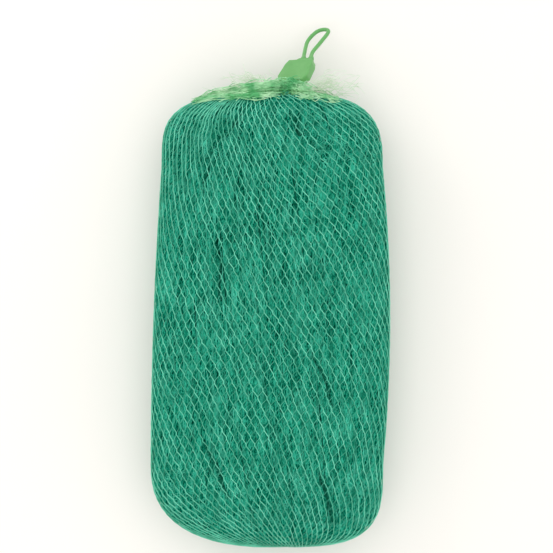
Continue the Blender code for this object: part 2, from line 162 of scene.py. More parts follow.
surround = bpy.data.worlds.new("white_surround")
surround.use_nodes = True
surround.node_tree.nodes["Background"].inputs["Color"].default_value = SURROUND_WHITE
surround.node_tree.nodes["Background"].inputs["Strength"].default_value = SURROUND_STRENGTH
bpy.context.scene.world = surround
bpy.context.scene.view_settings.view_transform = "Standard"
add_soft_box("soft_box", (0.0, 0.0, SOFT_BOX_HEIGHT), SOFT_BOX_SIZE, SOFT_BOX_WATTS)
add_soft_box("side_box", SIDE_BOX_PLACE, SIDE_BOX_SIZE, SIDE_BOX_WATTS)


# The camera looks straight down on the bag from a little over a metre,
# with the clip at the top of the view.

LENS = 100.0                    # millimetres, as the sensor width
SENSOR = 36.0
VIEW_WIDTH = 0.398              # what the view takes in at half the bag's height
VIEW_MIDDLE = (0.0043, 0.0058)

bag_low, bag_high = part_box("net_sleeve")
half_height = (bag_low.z + bag_high.z) / 2
camera_data = bpy.data.cameras.new("camera")
camera_data.lens = LENS
camera_data.sensor_width = SENSOR
camera = bpy.data.objects.new("camera", camera_data)
camera.location = (VIEW_MIDDLE[0], VIEW_MIDDLE[1], half_height + VIEW_WIDTH * LENS / SENSOR)
bpy.context.collection.objects.link(camera)
bpy.context.scene.camera = camera


# Folded netting: one length of fine dark teal garden netting, folded lengthwise into six
# thick folds in front and five behind, and pushed into the net sleeve. Each fold is a soft
# padded roll with many small lengthwise pleats, pressed against its neighbours and the net.

BAG_LENGTH = 0.3250             # foot to neck opening
FOOT_ROUND = 0.0600             # length of the rounded foot
SHOULDER_ROUND = 0.0520
MIDDLE_STATION = 0.1480         # where the middle width is measured
WIDTHS = (0.1677, 0.1712, 0.1596)
SHIFTS = (-0.0026, 0.0006, 0.0012)
FOOT_CORNERS = (2.5, 3.5)       # left and right, higher is squarer
SHOULDER_CORNERS = (3.7, 3.1)
END_CORNER = 2.7
SIDE_CORNER = 2.5
FLAT_SINK = 0.0060              # how much of the round underside the board flattens
FOOT_FOCUS = (0.0050, 0.0380)
NECK_FOCUS = (0.0116, 0.0505)
FRONT_FOLDS = (-1.0, -0.64, -0.36, 0.0, 0.34, 0.66, 1.0)
BACK_FOLDS = (-1.0, -0.60, -0.20, 0.20, 0.60, 1.0)
FOLD_SLANT = 0.50               # how far the folds lean across the bag
FOLD_INSET = 0.0010             # below the outside of the net
FOLD_SPLIT = 0.0001             # between neighbours
SEAM_DEPTH = 0.0022             # of the valley between neighbours
SEAM_BASE = 0.0012              # depth of the skin beside the valley
SEAM_CORNER = 22.0              # higher is a narrower valley
SEAM_WAVE = 0.024               # spacing of its deeper stretches
END_SMOOTHING = 0.75            # how far the pleats die out at the foot and the neck
FOOT_REACH = 0.992              # how far the folds fill the rounded ends
NECK_REACH = 0.997
PLEATS = ((0.0110, 0.0021), (0.0048, 0.0014), (0.0021, 0.0009))     # (spacing, depth)
PLEAT_LEAN = 0.26               # how far the pleats follow the fold's slant
PLEAT_WANDER = 0.55             # sideways, as a share of the spacing
PLEAT_PATCH = (0.013, 0.045)    # size of the stretches with deeper pleats
HOLLOW_PATCH = (0.016, 0.050)   # size of the broad shallow hollows
HOLLOW_DEPTH = 0.0006           # half of their depth
FOLD_ROWS = (170, 34)           # of the mesh, on the straight part and on each round end
FOLD_COLUMNS = 96
BASE_COLUMNS = 10
# The teal's dark end is painted shade in the netting's holes and pleat valleys; its light end is
# partly the yarn's own lighter tone and partly painted highlight.
TEAL_SHADE = (0.0004, 0.042, 0.024, 1.0)
TEAL = (0.0030, 0.240, 0.140, 1.0)
TEAL_LIGHT = (0.0500, 0.540, 0.365, 1.0)
# Painted highlight on the loose threads.
THREAD_LIGHT = (0.1200, 0.780, 0.570, 1.0)
THREAD_RADIUS = 0.00017
THREADS_PER_FOLD = 600
THREAD_LENGTHS = (0.03, 0.16)   # as shares of the straight part
THREAD_DRIFT = 0.20             # sideways, as a share of half a fold
THREAD_WAVE = 0.05              # of the same
THREAD_LIFT = (0.00005, 0.00055)    # the least above the pleats, and how much more
WEAVE_TOP = (0.0012, 0.0034)    # holes of the crushed mesh, across and along
WEAVE_UNDER = (0.0010, 0.0026)
YARN_GRAIN = (0.0009, 0.0050, 0.0009)
STREAK_GRAIN = (0.0040, 0.0260, 0.0040)
WEAVE_BUMP = 0.0014
SLIT_WAVER = 0.0009             # how far a slit's line wavers
# Slits where neighbouring folds have come apart: the two ends (X, Y), half width, depth
SLITS = (
    ((-0.0372, 0.036), (-0.0352, -0.012), 0.0011, 0.013),
    ((-0.0470, -0.108), (-0.0290, -0.149), 0.0012, 0.013),
    ((0.0356, -0.128), (0.0470, -0.172), 0.0015, 0.007),
    ((-0.0150, 0.128), (-0.0400, 0.098), 0.0018, 0.008),
    ((-0.0400, 0.098), (-0.0490, 0.070), 0.0018, 0.007),
    ((0.0200, 0.122), (0.0220, 0.104), 0.0030, 0.010),
    ((0.0280, 0.104), (0.0450, 0.095), 0.0040, 0.006),
    ((0.0300, -0.045), (0.0480, -0.090), 0.0012, 0.004),
)

foot_y = bag_high.y - BAG_LENGTH
bag_middle = (bag_high.z - bag_low.z) / 2


def through_three(y, values):
    """Parabola through three values at the foot, middle and shoulder stations."""
    places = (FOOT_ROUND, MIDDLE_STATION, BAG_LENGTH - SHOULDER_ROUND)
    total = 0.0
    for i, value in enumerate(values):
        weight = 1.0
        for j, place in enumerate(places):
            if j != i:
                weight = weight * (y - place) / (places[i] - place)
        total = total + value * weight
    return total


def shrink(share, corner):
    """Size left at a share of the way into a rounded end."""
    return np.maximum(0.0, 1.0 - np.abs(share) ** corner) ** (1.0 / corner)


def bag_points(across, front, station, inset, fill=1.0):
    """Points on the bag's form, or on a fold inside it.

    across runs from -1 to 1; station is -1 at the foot, 0 to 1 along the straight part and 2
    at the neck; inset is the depth below the net; fill is the share of the way from half
    height out to the net.
    """
    middle_y = FOOT_ROUND + np.clip(station, 0, 1) * (BAG_LENGTH - SHOULDER_ROUND - FOOT_ROUND)
    half_width = through_three(middle_y, WIDTHS) / 2
    shift = through_three(middle_y, SHIFTS)
    half = half_width + np.where(across < 0, -shift, shift) - inset
    x = across * half
    rise = shrink(across, SIDE_CORNER)
    front_z = bag_middle + (bag_middle - inset) * rise
    back_z = np.maximum(inset, bag_middle - (bag_middle - inset + FLAT_SINK) * rise)
    z = bag_middle + (np.where(front, front_z, back_z) - bag_middle) * fill
    y = middle_y
    ends = (
        (np.clip(-station, 0, 1), FOOT_FOCUS, FOOT_CORNERS, -(FOOT_ROUND - inset)),
        (np.clip(station - 1, 0, 1), NECK_FOCUS, SHOULDER_CORNERS, SHOULDER_ROUND - inset),
    )
    for share, focus, corners, reach in ends:
        side = np.where(x < focus[0], shrink(share, corners[0]), shrink(share, corners[1]))
        x = focus[0] + (x - focus[0]) * np.where(share > 0, side, 1.0)
        z = focus[1] + (z - focus[1]) * np.where(share > 0, shrink(share, END_CORNER), 1.0)
        y = y + share * reach
    return np.stack(np.broadcast_arrays(x, y + foot_y, z), axis=-1)


def soft_noise(u, v, seed, around=256):
    """Smooth random height from -1 to 1 over a plane, repeating every `around` steps of u."""
    grid = np.random.default_rng(seed).uniform(-1.0, 1.0, (around, 256))
    low_u = np.floor(u).astype(int)
    low_v = np.floor(v).astype(int)
    share_u = u - low_u
    share_v = v - low_v
    share_u = share_u * share_u * (3.0 - 2.0 * share_u)
    share_v = share_v * share_v * (3.0 - 2.0 * share_v)
    near = grid[low_u % around, low_v % 256] * (1 - share_v)
    near = near + grid[low_u % around, (low_v + 1) % 256] * share_v
    far = grid[(low_u + 1) % around, low_v % 256] * (1 - share_v)
    far = far + grid[(low_u + 1) % around, (low_v + 1) % 256] * share_v
    return near * (1 - share_u) + far * share_u


def stations(foot_reach, neck_reach, straight_steps, end_steps):
    """Stations from foot to neck, closer together where the ends curve most."""
    turns = np.linspace(0.0, 1.0, end_steps + 1)
    ease = np.sin(turns * math.pi / 2) ** 0.75
    foot = -foot_reach * ease[::-1]
    neck = 1.0 + neck_reach * ease
    return np.concatenate([foot, np.linspace(0, 1, straight_steps + 1)[1:-1], neck])


def fold_edge(across, y):
    """Line between two folds, leaning across the bag."""
    return across + FOLD_SLANT * (1.0 - across * across) * (0.5 - y / BAG_LENGTH)


def slit_depth(points):
    """Extra depth along the slits, for points seen from above."""
    depth = np.zeros(points.shape[:-1])
    for start, end, half_width, most in SLITS:
        start = np.array(start)
        run = np.array(end) - start
        length = np.hypot(*run)
        offset = points[..., :2] - start
        along = (offset @ run) / length
        beside = (offset[..., 0] * run[1] - offset[..., 1] * run[0]) / length
        beside = beside - SLIT_WAVER * np.sin(along * 210.0)
        taper = np.clip(along / length, 0, 1)
        taper = np.where((along > 0) & (along < length), np.sin(math.pi * taper) ** 0.5, 0.0)
        width = half_width * (0.35 + 0.65 * taper)
        depth = np.maximum(depth, most * taper * np.exp(-(beside / width) ** 4))
    return depth


def mesh_object(name, points, faces, material):
    """Smooth-shaded object from an array of points and an array of four-cornered faces."""
    mesh = bpy.data.meshes.new(name)
    mesh.from_pydata(points.reshape(-1, 3).tolist(), [], faces)
    mesh.materials.append(material)
    mesh.shade_smooth()
    piece = bpy.data.objects.new(name, mesh)
    bpy.context.collection.objects.link(piece)
    return piece


def closed_skin(rows, columns):
    """Faces of a tube of rows by columns points, with both ends closed."""
    first = np.arange(rows - 1)[:, None] * columns
    k = np.arange(columns)[None, :]
    after = (k + 1) % columns
    quads = np.stack([first + k, first + after, first + columns + after, first + columns + k], -1)
    faces = quads.reshape(-1, 4).tolist()
    faces.append(list(range(columns))[::-1])
    faces.append(list(range((rows - 1) * columns, rows * columns)))
    return faces


def pleat_depth(across, y, seed):
    """Depth of the small pleats: sharp ridges and round valleys that wander along the fold."""
    x = across * WIDTHS[1] / 2 + FOLD_SLANT * (1 - across ** 2) * y * PLEAT_LEAN
    depth = np.zeros(np.broadcast(across, y).shape)
    for number, (spacing, most) in enumerate(PLEATS):
        wander = soft_noise(x / (spacing * 3.5), y / (spacing * 7.0), seed + number) * PLEAT_WANDER
        wave = np.abs(np.sin(math.pi * (x / spacing + wander)))
        patches = soft_noise(x / PLEAT_PATCH[0], y / PLEAT_PATCH[1], seed + 40 + number)
        strength = 0.6 + 0.4 * patches
        depth = depth + most * strength * (1.0 - wave) ** 1.5
    hollows = soft_noise(x / HOLLOW_PATCH[0], y / HOLLOW_PATCH[1], seed + 90)
    return depth + HOLLOW_DEPTH * (1.0 + hollows)


def fold_surface(share, along, lines, front, seed, lift=0.0):
    """Points on a fold's pleated skin; share is -1 to 1 across the fold, along a station."""
    y = FOOT_ROUND + np.clip(along, 0, 1) * (BAG_LENGTH - SHOULDER_ROUND - FOOT_ROUND)
    y = y - np.clip(-along, 0, 1) * FOOT_ROUND + np.clip(along - 1, 0, 1) * SHOULDER_ROUND
    split = FOLD_SPLIT / WIDTHS[1]
    left = fold_edge(lines[0], y) + split
    right = fold_edge(lines[1], y) - split
    across = left + (right - left) * (share + 1.0) / 2.0
    seam_noise = soft_noise(0.0 * y, y / SEAM_WAVE, seed + 60)
    seam = SEAM_DEPTH * np.clip(0.45 + 0.75 * seam_noise, 0.05, 1)
    edge = np.abs(share) ** 10
    depth = pleat_depth(across, y, seed) * (1 - edge) + SEAM_BASE * edge
    depth = depth + seam * np.abs(share) ** SEAM_CORNER
    into_end = np.clip(np.abs(along - 0.5) - 0.5, 0, 1)
    depth = depth * (1 - END_SMOOTHING * into_end ** 3)
    if front:
        depth = depth + slit_depth(bag_points(across, front, along, FOLD_INSET))
    return across, bag_points(across, front, along, FOLD_INSET + depth - lift)


def build_fold(name, lines, front, seed, material):
    """One closed fold: pleated against the net, flat where it lies on the other layer."""
    along = stations(FOOT_REACH, NECK_REACH, *FOLD_ROWS)[:, None]
    turn = np.linspace(-1.0, 1.0, FOLD_COLUMNS)[None, :]
    share = np.sin(turn * math.pi / 2) * 0.45 + turn * 0.55
    across, top = fold_surface(share, along, lines, front, seed)
    base_share = np.linspace(1.0, -1.0, BASE_COLUMNS)[None, :]
    base_across = across[:, :1] + (across[:, -1:] - across[:, :1]) * (base_share + 1.0) / 2.0
    base = bag_points(base_across, front, along, FOLD_INSET, FOLD_SPLIT / 2 / bag_middle)
    points = np.concatenate([top, base], axis=1)
    faces = closed_skin(points.shape[0], points.shape[1])
    if not front:
        faces = [face[::-1] for face in faces]
    return mesh_object(name, points, faces, material)


def add_math(tree, operation, first, second):
    """Math node; each input is a socket or a number."""
    node = tree.nodes.new("ShaderNodeMath")
    node.operation = operation
    for socket, value in zip(node.inputs, (first, second)):
        if isinstance(value, float):
            socket.default_value = value
        else:
            tree.links.new(value, socket)
    return node.outputs[0]


def add_mesh_lines(tree, size, turn, stray):
    """Threads of a fine crushed net: 1 on a thread, 0 in a hole. size is a hole in metres."""
    place = tree.nodes.new("ShaderNodeTexCoord")
    noise = tree.nodes.new("ShaderNodeTexNoise")
    noise.inputs["Scale"].default_value = 1.0 / stray
    tree.links.new(place.outputs["Object"], noise.inputs["Vector"])
    pull = tree.nodes.new("ShaderNodeVectorMath")
    pull.operation = "MULTIPLY_ADD"
    pull.inputs[1].default_value = (stray * 0.45, stray * 0.3, stray * 0.45)
    tree.links.new(noise.outputs["Color"], pull.inputs[0])
    tree.links.new(place.outputs["Object"], pull.inputs[2])
    spin = tree.nodes.new("ShaderNodeMapping")
    spin.inputs["Rotation"].default_value = (0.0, 0.0, math.radians(turn))
    tree.links.new(pull.outputs["Vector"], spin.inputs["Vector"])
    squeeze = tree.nodes.new("ShaderNodeMapping")
    squeeze.inputs["Scale"].default_value = (1.0 / size[0], 1.0 / size[1], 1.0 / size[0])
    tree.links.new(spin.outputs["Vector"], squeeze.inputs["Vector"])
    cells = tree.nodes.new("ShaderNodeTexVoronoi")
    cells.feature = "DISTANCE_TO_EDGE"
    cells.inputs["Scale"].default_value = 1.0
    tree.links.new(squeeze.outputs["Vector"], cells.inputs["Vector"])
    thin = add_math(tree, "MULTIPLY", cells.outputs["Distance"], 3.2)
    return add_math(tree, "SUBTRACT", 1.0, add_math(tree, "MINIMUM", thin, 1.0))


def netting_material():
    """Fine knitted teal netting: layers of crushed mesh in lengthwise streaks, with painted shade in
    the holes and low places and painted highlight on the raised threads.
    """
    material, tree, shader = start_material("crushed_netting", 0.55)
    top_layer = add_mesh_lines(tree, WEAVE_TOP, 12.0, 0.006)
    under_layer = add_mesh_lines(tree, WEAVE_UNDER, -9.0, 0.004)
    threads = add_noise(tree, YARN_GRAIN, detail=4.0, turn=10.0, roughness=0.75)
    pleats = add_noise(tree, STREAK_GRAIN, detail=2.0, turn=7.0)
    layers = add_math(tree, "MAXIMUM", top_layer, add_math(tree, "MULTIPLY", under_layer, 0.6))
    mesh_hole_shading = add_math(tree, "MULTIPLY", layers, 0.20)
    streaks = add_math(tree, "MULTIPLY", threads, 0.72)
    broad = add_math(tree, "MULTIPLY", pleats, 0.34)
    height = add_math(tree, "ADD", mesh_hole_shading, add_math(tree, "ADD", streaks, broad))
    # Colour follows the bump's height: painted shade where it is low, painted highlight where it is
    # high, over the yarn's own streaky tone.
    stops = [(0.53, TEAL_SHADE), (0.635, TEAL), (0.76, TEAL_LIGHT)]
    tree.links.new(add_ramp(tree, height, stops), shader.inputs["Base Color"])
    add_bump(tree, shader, height, WEAVE_BUMP)
    shader.inputs["Specular IOR Level"].default_value = 0.0
    return material


def thread_lines(lines, front, seed, count):
    """Single threads that have worked loose and lie along a fold's pleats."""
    rng = np.random.default_rng(seed + 7)
    steps = np.linspace(0.0, 1.0, 12)[None, :]
    length = rng.uniform(*THREAD_LENGTHS, (count, 1))
    along = rng.uniform(-0.75, 1.75, (count, 1)) + length * steps
    drift = rng.normal(0.0, THREAD_DRIFT, (count, 1)) * steps
    turns = rng.uniform(0.5, 2.0, (count, 1))
    phase = rng.random((count, 1))
    wave = THREAD_WAVE * np.sin(2 * math.pi * (steps * turns + phase))
    share = np.clip(rng.uniform(-0.97, 0.97, (count, 1)) + drift + wave, -0.985, 0.985)
    lift = THREAD_LIFT[0] + THREAD_LIFT[1] * rng.random((count, 1))
    return fold_surface(share, along, lines, front, seed, lift)[1]


def smooth_lines(lines, steps):
    """Catmull-Rom curves through many lines of points at once."""
    ends = np.concatenate([lines[:, :1], lines, lines[:, -1:]], axis=1)
    a, b, c, d = ends[:, :-3], ends[:, 1:-2], ends[:, 2:-1], ends[:, 3:]
    parts = []
    for step in range(steps):
        t = step / steps
        bend = 2 * b + (c - a) * t + (2 * a - 5 * b + 4 * c - d) * t ** 2
        parts.append((bend + (3 * b - a - 3 * c + d) * t ** 3) / 2)
    fine = np.stack(parts, axis=2).reshape(lines.shape[0], -1, 3)
    return np.concatenate([fine, lines[:, -1:]], axis=1)


def strand_mesh(name, lines, radius, material, sides=6):
    """One mesh of many round strands, each closed at both ends."""
    count, length, _ = lines.shape
    ahead = np.gradient(lines, axis=1)
    ahead /= np.maximum(np.linalg.norm(ahead, axis=2, keepdims=True), 1e-9)
    normal = np.cross(ahead[:, 0], (0.31, 0.17, 0.93))
    normals = np.empty_like(lines)
    for k in range(length):
        normal = normal - ahead[:, k] * (normal * ahead[:, k]).sum(axis=1, keepdims=True)
        normal = normal / np.maximum(np.linalg.norm(normal, axis=1, keepdims=True), 1e-9)
        normals[:, k] = normal
    beside = np.cross(ahead, normals)
    radius = np.broadcast_to(radius, (count, length))[..., None, None]
    turn = 2 * math.pi * np.arange(sides) / sides
    ring = normals[:, :, None] * np.cos(turn)[:, None] + beside[:, :, None] * np.sin(turn)[:, None]
    points = lines[:, :, None] + ring * radius
    one = closed_skin(length, sides)
    quads = np.array(one[:-2])
    faces = []
    for strand in range(count):
        first = strand * length * sides
        faces += (quads + first).tolist()
        faces += [[first + corner for corner in cap] for cap in one[-2:]]
    return mesh_object(name, points, faces, material)


def thread_material():
    """The same teal yarn, painted lighter in random patches as painted highlight where single
    threads would catch the light.
    """
    material, tree, shader = start_material("netting_thread", 0.50)
    thread_highlight = add_noise(tree, (0.004, 0.012, 0.004), detail=3.0)
    stops = [(0.38, TEAL), (0.66, THREAD_LIGHT)]
    tree.links.new(add_ramp(tree, thread_highlight, stops), shader.inputs["Base Color"])
    shader.inputs["Specular IOR Level"].default_value = 0.1
    return material


netting = netting_material()
thread_yarn = thread_material()
for layer, edges in (("front", FRONT_FOLDS), ("back", BACK_FOLDS)):
    for number, lines in enumerate(zip(edges, edges[1:]), start=1):
        node = f"netting_fold_{layer}_{number}"
        seed = 100 * number + (50 if layer == "back" else 0)
        fold = build_fold(f"padded_{node}", lines, layer == "front", seed, netting)
        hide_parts(node)
        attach(fold, "bag")
        threads = thread_lines(lines, layer == "front", seed, THREADS_PER_FOLD)
        loose = strand_mesh(
            f"netting_threads_{layer}_{number}", threads, THREAD_RADIUS, thread_yarn, sides=4
        )
        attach(loose, "bag")


# Net sleeve: an extruded tube of light green plastic net with diamond holes, stretched over
# the folds. Two families of strands cross and are fused at short knots; the family that
# leans left lies outermost and is a little thicker. The family under it is painted a darker
# green, as painted shade.

COLUMNS = 70                    # holes round the tube
STRAND_SPAN = 0.00655           # knot to knot
KNOT_LENGTH = 0.0014
OUTER_STRAND = 0.00031          # radius
INNER_STRAND = 0.00023
NET_INSET = 0.00055             # strand middle, below the outside of the net
INNER_SINK = 0.00012            # the under family lies this much deeper
FOOT_RIM = 0.0055               # radius of the gathered net at the dimple's floor
FOOT_DIMPLE = 0.0070            # depth of the dimple
FOOT_LIP = (0.0026, 0.002)      # the dimple's edge: how far in, and how much wider
NECK_RIM = 0.0070
NECK_LIP = (0.0005, 0.001)      # the neck's edge: how far out, and how much wider
NECK_CUT = (0.0030, 0.002)      # the end of the tube: how far out, and how much narrower
NET_REACH = 0.985               # how far the stretched net covers the rounded ends
NET_ROWS = (60, 24)
RING_POINTS = 361
CROWD_ENDS = 0.30               # how far the sides are pulled to the front at both ends
CROWD_LEFT = 0.25               # how far everything is pulled left at the neck
SHOULDER_DRAW = 0.065           # how far the left shoulder is drawn over to the neck
FOOT_PULL = (0.40, 0.0)         # where each pull starts and is whole, as shares of the tube
NECK_PULL = (0.62, 1.0)
LEFT_PULL = (0.55, 0.95)
SHOULDER_PULL = (0.55, 0.97)
NET_WANDER = 0.0026             # how far knots stray from an even net
FINE_WANDER = 0.30              # share of it that changes from knot to knot
LEAST_GIRTH = 0.12              # below this the knots stray less
NET_MINT = (0.075, 0.470, 0.300, 1.0)
NET_PALE = (0.200, 0.780, 0.550, 1.0)
# Darker copy of the net green for the under family: painted shade where it lies beneath the outer
# strands.
NET_UNDER_SHADE = (0.030, 0.330, 0.205, 1.0)
NET_UNDER_SHADE_PALE = (0.095, 0.540, 0.370, 1.0)
STRETCH_PATCH = (0.010, 0.016, 0.010)
DRAWN_GRAIN = (0.0006, 0.0020, 0.0006)
DRAWN_BUMP = 0.00012


def ring_rows(inset):
    """Rings of the stretched net from inside the foot dimple to the neck opening."""
    turn = np.linspace(0.0, 2 * math.pi, RING_POINTS)
    across = np.sign(np.cos(turn)) * np.abs(np.cos(turn)) ** (2 / SIDE_CORNER)
    along = stations(NET_REACH, NET_REACH, *NET_ROWS)[:, None]
    body = bag_points(across[None, :], np.sin(turn)[None, :] >= 0, along, inset)

    def rim(focus, y, radius):
        """Round ring of gathered net about a focus."""
        x = focus[0] + radius * np.cos(turn)
        z = focus[1] + radius * np.sin(turn)
        return np.stack([x, np.full_like(x, y + foot_y), z], axis=-1)

    rows = [
        rim(FOOT_FOCUS, FOOT_DIMPLE, FOOT_RIM),
        rim(FOOT_FOCUS, FOOT_LIP[0], FOOT_RIM + FOOT_LIP[1]),
    ]
    rows += list(body)
    rows.append(rim(NECK_FOCUS, BAG_LENGTH - inset + NECK_LIP[0], NECK_RIM + NECK_LIP[1]))
    rows.append(rim(NECK_FOCUS, BAG_LENGTH + NECK_CUT[0], NECK_RIM - NECK_CUT[1]))
    return rows


def spread(line, count):
    """The same line as a number of evenly spaced points."""
    steps = np.linalg.norm(np.diff(line, axis=0), axis=1)
    place = np.concatenate([[0.0], np.cumsum(steps)])
    wanted = np.linspace(0.0, place[-1], count)
    return np.stack([np.interp(wanted, place, line[:, k]) for k in range(3)], axis=-1)


def net_surface(inset, rows=520, columns=721):
    """Even grid over the net tube, and its mean length and girth from foot to neck."""
    rings = np.array([spread(ring, columns) for ring in ring_rows(inset)])
    fine = []
    for lower, upper in zip(rings, rings[1:]):
        for share in np.linspace(0, 1, 6)[:-1]:
            fine.append(lower + (upper - lower) * share)
    fine = np.array(fine + [rings[-1]])
    steps = np.linalg.norm(np.diff(fine, axis=0), axis=2)
    own = np.concatenate([np.zeros((1, columns)), np.cumsum(steps, axis=0)])
    mean = own.mean(axis=1)
    shares = 0.5 * own / own[-1] + 0.5 * (mean / mean[-1])[:, None]
    wanted = np.linspace(0.0, 1.0, rows)
    grid = np.empty((rows, columns, 3))
    for column in range(columns):
        for axis in range(3):
            grid[:, column, axis] = np.interp(wanted, shares[:, column], fine[:, column, axis])
    girth = np.linalg.norm(np.diff(grid, axis=1), axis=2).sum(axis=1)
    return grid, mean[-1], girth


def on_surface(grid, around, along):
    """Points of the grid at shares round the tube (any number) and along it (0 to 1)."""
    rows, columns = grid.shape[0] - 1, grid.shape[1] - 1
    u = (around % 1.0) * columns
    v = np.clip(along, 0.0, 1.0) * rows
    low_u = np.minimum(np.floor(u).astype(int), columns - 1)
    low_v = np.minimum(np.floor(v).astype(int), rows - 1)
    share_u = (u - low_u)[..., None]
    share_v = (v - low_v)[..., None]
    lower = grid[low_v, low_u] * (1 - share_u) + grid[low_v, low_u + 1] * share_u
    upper = grid[low_v + 1, low_u] * (1 - share_u) + grid[low_v + 1, low_u + 1] * share_u
    return lower * (1 - share_v) + upper * share_v


def step_up(value, start, end):
    """0 before start, 1 after end, smooth in between; start may be the larger."""
    share = np.clip((value - start) / (end - start), 0.0, 1.0)
    return share * share * (3.0 - 2.0 * share)


def pulled(around, along, girth):
    """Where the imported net's knots really sit round the tube, as shares of its girth."""
    turn = 2 * math.pi * around
    crowd = CROWD_ENDS * (step_up(along, *FOOT_PULL) + step_up(along, *NECK_PULL))
    left = CROWD_LEFT * step_up(along, *LEFT_PULL)
    warp = (crowd * np.cos(turn) + left * np.sin(turn)) / (2 * math.pi)
    drawn = SHOULDER_DRAW * step_up(along, *SHOULDER_PULL)
    warp = warp - drawn * np.minimum(np.cos(turn), 0) ** 2
    wander = soft_noise(around * 10, along * 9, 7, around=10) * NET_WANDER
    fine = soft_noise(around * 60, along * 60, 8, around=60)
    wander = wander + fine * NET_WANDER * FINE_WANDER
    here = np.interp(along, np.linspace(0, 1, len(girth)), girth)
    return around + warp + wander / np.maximum(here, LEAST_GIRTH)


def knot_rows(length, girth):
    """Shares along the tube at which rows of knots sit, half a hole apart."""
    shares = [0.0]
    while shares[-1] < 1.0:
        here = np.interp(shares[-1], np.linspace(0, 1, len(girth)), girth)
        half_hole = min(here / COLUMNS / 2, STRAND_SPAN * 0.75)
        shares.append(shares[-1] + math.sqrt(STRAND_SPAN ** 2 - half_hole ** 2) / length)
    return np.array(shares) / shares[-1]


def net_lines(grid, length, girth, lean):
    """Centre lines of one family of strands; lean is 1 for left and -1 for right."""
    rows = knot_rows(length, girth)
    count = len(rows)
    strand = np.arange(COLUMNS)[:, None]
    around = (strand + lean * np.arange(count)[None, :] / 2.0) / COLUMNS
    along = np.broadcast_to(rows, around.shape)
    half_knot = KNOT_LENGTH / 2 / length
    around = np.repeat(pulled(around, along, girth), 2, axis=1)
    along = np.repeat(along, 2, axis=1) + np.tile([-half_knot, half_knot], count)
    return smooth_lines(on_surface(grid, around, along), 2)


def net_material(name, dark, pale):
    """Thin extruded plastic net: satin, a little see-through, paler where it is stretched."""
    material, tree, shader = start_material(name, 0.38)
    stretch = add_noise(tree, STRETCH_PATCH, detail=3.0)
    color = add_ramp(tree, stretch, [(0.36, dark), (0.64, pale)])
    tree.links.new(color, shader.inputs["Base Color"])
    drawn = add_noise(tree, DRAWN_GRAIN, detail=2.0)
    add_bump(tree, shader, drawn, DRAWN_BUMP)
    shader.inputs["Specular IOR Level"].default_value = 0.15
    return material


net_plastic = net_material("net_plastic", NET_MINT, NET_PALE)
grid, tube_length, girth = net_surface(NET_INSET)
inner_grid, _, _ = net_surface(NET_INSET + INNER_SINK)
sleeve_left = strand_mesh(
    "sleeve_strands_leaning_left", net_lines(grid, tube_length, girth, 1), OUTER_STRAND,
    net_plastic, sides=5,
)
# The under family is coloured with painted shade: a darker copy of the same net plastic.
sleeve_right = strand_mesh(
    "sleeve_strands_leaning_right", net_lines(inner_grid, tube_length, girth, -1), INNER_STRAND,
    net_material("net_plastic_under_shaded", NET_UNDER_SHADE, NET_UNDER_SHADE_PALE), sides=5,
)
for strands in (sleeve_left, sleeve_right):
    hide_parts("net_sleeve")
    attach(strands, "bag")


# Foot of the net: the tube's end is bunched inside the dimple, held by a pressed metal
# crimp, and cut off just past it.

LOOSE_GREEN = (0.070, 0.390, 0.130, 1.0)
LOOSE_PALE = (0.360, 0.740, 0.370, 1.0)
GATHER_STRANDS = 46
GATHER_STRAND = 0.00030
# The bunch: its radius, and how far in from the bag's foot edge
GATHER_PROFILE = (
    (0.0056, 0.0074), (0.0040, 0.0068), (0.0028, 0.0052), (0.0024, 0.0034),
    (0.0028, 0.0020), (0.0036, 0.0010), (0.0042, 0.0004),
)
CRIMP_WALL = 0.0011
CRIMP_PRESSES = 6
PRESS_DEPTH = 0.045             # as a share of the band's radius
STEEL_DARK = (0.42, 0.43, 0.44, 1)
STEEL_BRIGHT = (0.68, 0.69, 0.70, 1)


def foot_gather_lines():
    """Strands from the dimple's floor through the crimp to the cut end."""
    rng = np.random.default_rng(31)
    turn = rng.uniform(0, 2 * math.pi, (GATHER_STRANDS, 1))
    depth = rng.uniform(0.25, 1.0, (GATHER_STRANDS, 1)) ** 0.5
    radius = np.array([row[0] for row in GATHER_PROFILE])[None, :] * depth
    y = np.array([row[1] for row in GATHER_PROFILE])[None, :]
    turn = turn + rng.normal(0, 0.09, (GATHER_STRANDS, len(GATHER_PROFILE)))
    x = FOOT_FOCUS[0] + radius * np.cos(turn)
    z = FOOT_FOCUS[1] + radius * np.sin(turn)
    lines = np.stack(np.broadcast_arrays(x, y + foot_y, z), axis=-1)
    return smooth_lines(lines, 4)


def crimp_material():
    """Bright steel, scuffed along the net."""
    material, tree, shader = start_material("crimp_steel", 0.34)
    shader.inputs["Metallic"].default_value = 1.0
    scuffs = add_noise(tree, (0.0004, 0.0018, 0.0004), detail=4.0)
    color = add_ramp(tree, scuffs, [(0.3, STEEL_DARK), (0.7, STEEL_BRIGHT)])
    tree.links.new(color, shader.inputs["Base Color"])
    add_bump(tree, shader, scuffs, 0.00008)
    return material


